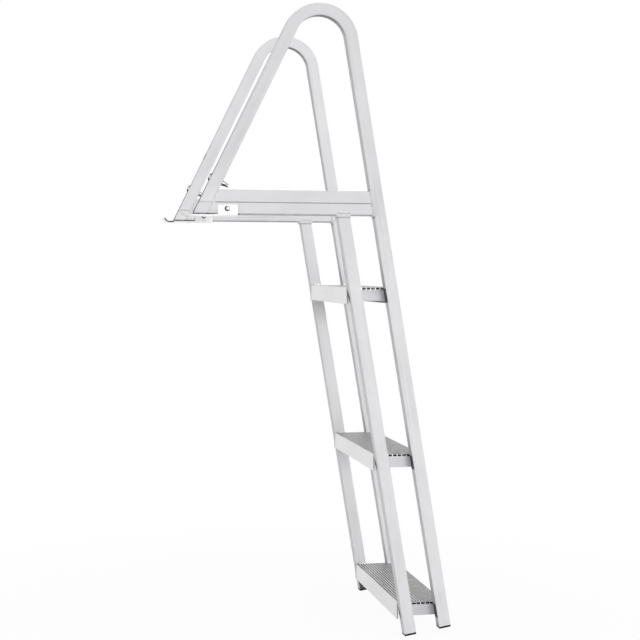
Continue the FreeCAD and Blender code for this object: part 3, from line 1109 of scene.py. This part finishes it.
def make_bolts(name, y):
    """The cross bolt through the bracket with its nut, and the bolt through the leg."""
    face = tube / 2 + plate_t
    make_bolt(name + "_cross_bolt", name + "_bracket_bolt", Vector((0, y - face, cross_bolt_z)), across,
              (cross_head_r, cross_head_h), 2 * face + nut_h + bolt_end,
              dark_rim_width=2.8, thickest=Vector((-0.8, 0, -0.6)))
    mesh = nut_mesh(stand(Vector((0, y + face, cross_bolt_z)), across))
    piece(name + "_cross_nut", mesh, bright_bolt, "bolt_steel", name + "_bracket_nut", sharp=35)

    make_bolt(name + "_carriage_bolt", name + "_leg_bolt", leg_bolt_base + across * y, leg_in,
              (leg_head_r, leg_head_h), tube + hub_h + bolt_end,
              dark_rim_width=6.0, thickest=leg_dir, both_ends=True)

    turn = Matrix((across, leg_dir, leg_in)).transposed() @ Matrix.Rotation(math.radians(wing_turn), 3, "Z")
    place = Matrix.Translation(leg_bolt_base + leg_in * tube + across * y) @ turn.to_4x4()
    piece(name + "_wings", wing_nut_mesh(place), cast_wing, "bolt_steel", name + "_wing_nut", sharp=180)


def make_tread(name, top):
    """One step, and the end plate under each end of it."""
    piece(name + "_step", tread_mesh(top), mill_tread, "tread_aluminium", name + "_tread", sharp=35)
    x0 = inner_front_x(top)
    plate_top = top - deck_t
    for side, y0 in (("left", tube / 2), ("right", tube / 2 + tread_len - end_plate_t)):
        mesh = plate_mesh((x0 + end_plate_set_back, x0 + tread_depth - flange_t),
                          (y0, y0 + end_plate_t), (plate_top - end_plate_h, plate_top))
        piece(name + "_" + side + "_plate", mesh, cut_plate, "tread_aluminium",
              name + "_tread_" + side + "_end_plate", rounding=0.35)


# Each line of welds has its own seed, so that no two are uneven in the same way
for name, y, seed in (("left", 0.0, 3), ("right", frame_spacing, 8)):
    make_tubes(name, y)
    make_caps_and_bracket(name)
    make_bolts(name, y)
    welds(name + "_frame_welds", frame_weld_runs(y), pale_weld, seed)
    welds(name + "_bar_end_welds", bar_end_weld_runs(y), dull_weld, seed + 1, spacing=2.4, length=2.6)
    welds(name + "_stile_top_welds", stile_top_weld_runs(y), pale_weld, seed + 2, spacing=3.4, length=2.6)
for name, top in tread_tops.items():
    make_tread(name, top)
welds("tread_welds", tread_weld_runs(), fresh_weld_with_highlight, 12)

for made in finished:
    hand_over(made)


# Floor, light and camera

def seen_or_mirrored(tree):
    """1 for a ray from the camera, a mirror or glass, and otherwise 0."""
    rays = add(tree, "ShaderNodeLightPath").outputs
    either = combine(tree, "MAXIMUM", rays["Is Camera Ray"], rays["Is Glossy Ray"])
    return combine(tree, "MAXIMUM", either, rays["Is Transmission Ray"])


def make_floor():
    """A white floor under the feet that keeps a trace of the ladder's shadow near it."""
    under_the_feet = cad_low.z - 0.0002
    bpy.ops.mesh.primitive_plane_add(size=60.0, location=(0.2, 0.2, under_the_feet))
    floor = bpy.context.object
    floor.name = "floor"
    made, tree = new_material("Pale floor")
    tree.nodes.remove(tree.nodes["Principled BSDF"])
    place = add(tree, "ShaderNodeTexCoord").outputs["Object"]
    reach = add(tree, "ShaderNodeVectorMath", {0: place}, operation="LENGTH").outputs["Value"]
    close, far, strongest = 0.35, 1.4, 0.04
    near = spread(tree, reach, close, far, strongest, 0.0, interpolation_type="SMOOTHSTEP")
    painted = add(tree, "ShaderNodeBsdfDiffuse", {"Color": (0.85, 0.85, 0.85, 1)}).outputs[0]
    white = add(tree, "ShaderNodeEmission", {"Color": (1, 1, 1, 1), "Strength": 1.0}).outputs[0]
    seen = add(tree, "ShaderNodeMixShader", {0: near, 1: white, 2: painted}).outputs[0]
    both = add(tree, "ShaderNodeMixShader", {0: seen_or_mirrored(tree), 1: painted, 2: seen}).outputs[0]
    tree.links.new(both, tree.nodes["Material Output"].inputs["Surface"])
    floor.data.materials.append(made)


def make_world(ambient):
    """White where it is seen or mirrored, and a soft even light on everything else."""
    world = bpy.data.worlds.new("Studio")
    bpy.context.scene.world = world
    world.use_nodes = True
    tree = world.node_tree
    back = tree.nodes["Background"]
    back.inputs["Color"].default_value = (1, 1, 1, 1)
    level = spread(tree, seen_or_mirrored(tree), 0.0, 1.0, ambient, 1.0)
    tree.links.new(level, back.inputs["Strength"])


def soft_lamp(name, where, aim, size, power):
    """A square lamp turned toward a point, both placed in metres."""
    lamp = bpy.data.lights.new(name, "AREA")
    lamp.shape = "SQUARE"
    lamp.size = size
    lamp.energy = power
    obj = put_in_scene(name, lamp)
    obj.location = where
    obj.rotation_euler = (Vector(aim) - Vector(where)).to_track_quat("-Z", "Y").to_euler()


def soft_sun(name, azimuth, elevation, width, strength):
    """Even light from far off, from an azimuth past straight ahead and a height, in degrees."""
    lamp = bpy.data.lights.new(name, "SUN")
    lamp.energy = strength
    lamp.angle = math.radians(width)
    a, e = math.radians(azimuth), math.radians(elevation)
    towards = Vector((math.sin(a) * math.cos(e), -math.cos(a) * math.cos(e), math.sin(e)))
    put_in_scene(name, lamp).rotation_euler = towards.to_track_quat("Z", "Y").to_euler()


def make_camera():
    """The photograph's own viewpoint, turned 11 degrees to the water side and a little downward."""
    where = (-0.36429, -2.85828, -0.10492)
    yaw, pitch, roll = (math.radians(a) for a in (11.0193, -2.0553, 0.1788))
    focal_pixels, picture_pixels = 1427.80, 640
    ahead = Vector((math.sin(yaw) * math.cos(pitch), math.cos(yaw) * math.cos(pitch), math.sin(pitch)))
    level = Vector((math.cos(yaw), -math.sin(yaw), 0))
    upright = level.cross(ahead)
    right = level * math.cos(roll) + upright * math.sin(roll)
    top = upright * math.cos(roll) - level * math.sin(roll)
    sensor_width = 36.0
    data = bpy.data.cameras.new("camera")
    data.sensor_width = sensor_width
    data.lens = focal_pixels / picture_pixels * sensor_width
    camera = put_in_scene("camera", data)
    turned = Matrix((right, top, -ahead)).transposed().to_4x4()
    camera.matrix_world = Matrix.Translation(where) @ turned
    bpy.context.scene.camera = camera


make_floor()
make_world(ambient=0.22)
soft_sun("key", azimuth=33, elevation=5, width=44, strength=1.01)
soft_lamp("low fill", (1.16, -2.68, -0.825), aim=(0.38, 0.1, -0.75), size=1.5, power=21)
soft_lamp("dock side", (-1.4, -1.0, -0.4), aim=(0.25, 0.2, -0.4), size=0.9, power=9)
soft_lamp("top", (0.2, 0.1, 3.0), aim=(0.25, 0.2, 0.0), size=1.2, power=40)
soft_lamp("back fill", (3.2, 2.4, 0.0), aim=(0.2, 0.4, -0.2), size=1.2, power=40)
make_camera()

view = bpy.context.scene.view_settings
view.view_transform = "Standard"
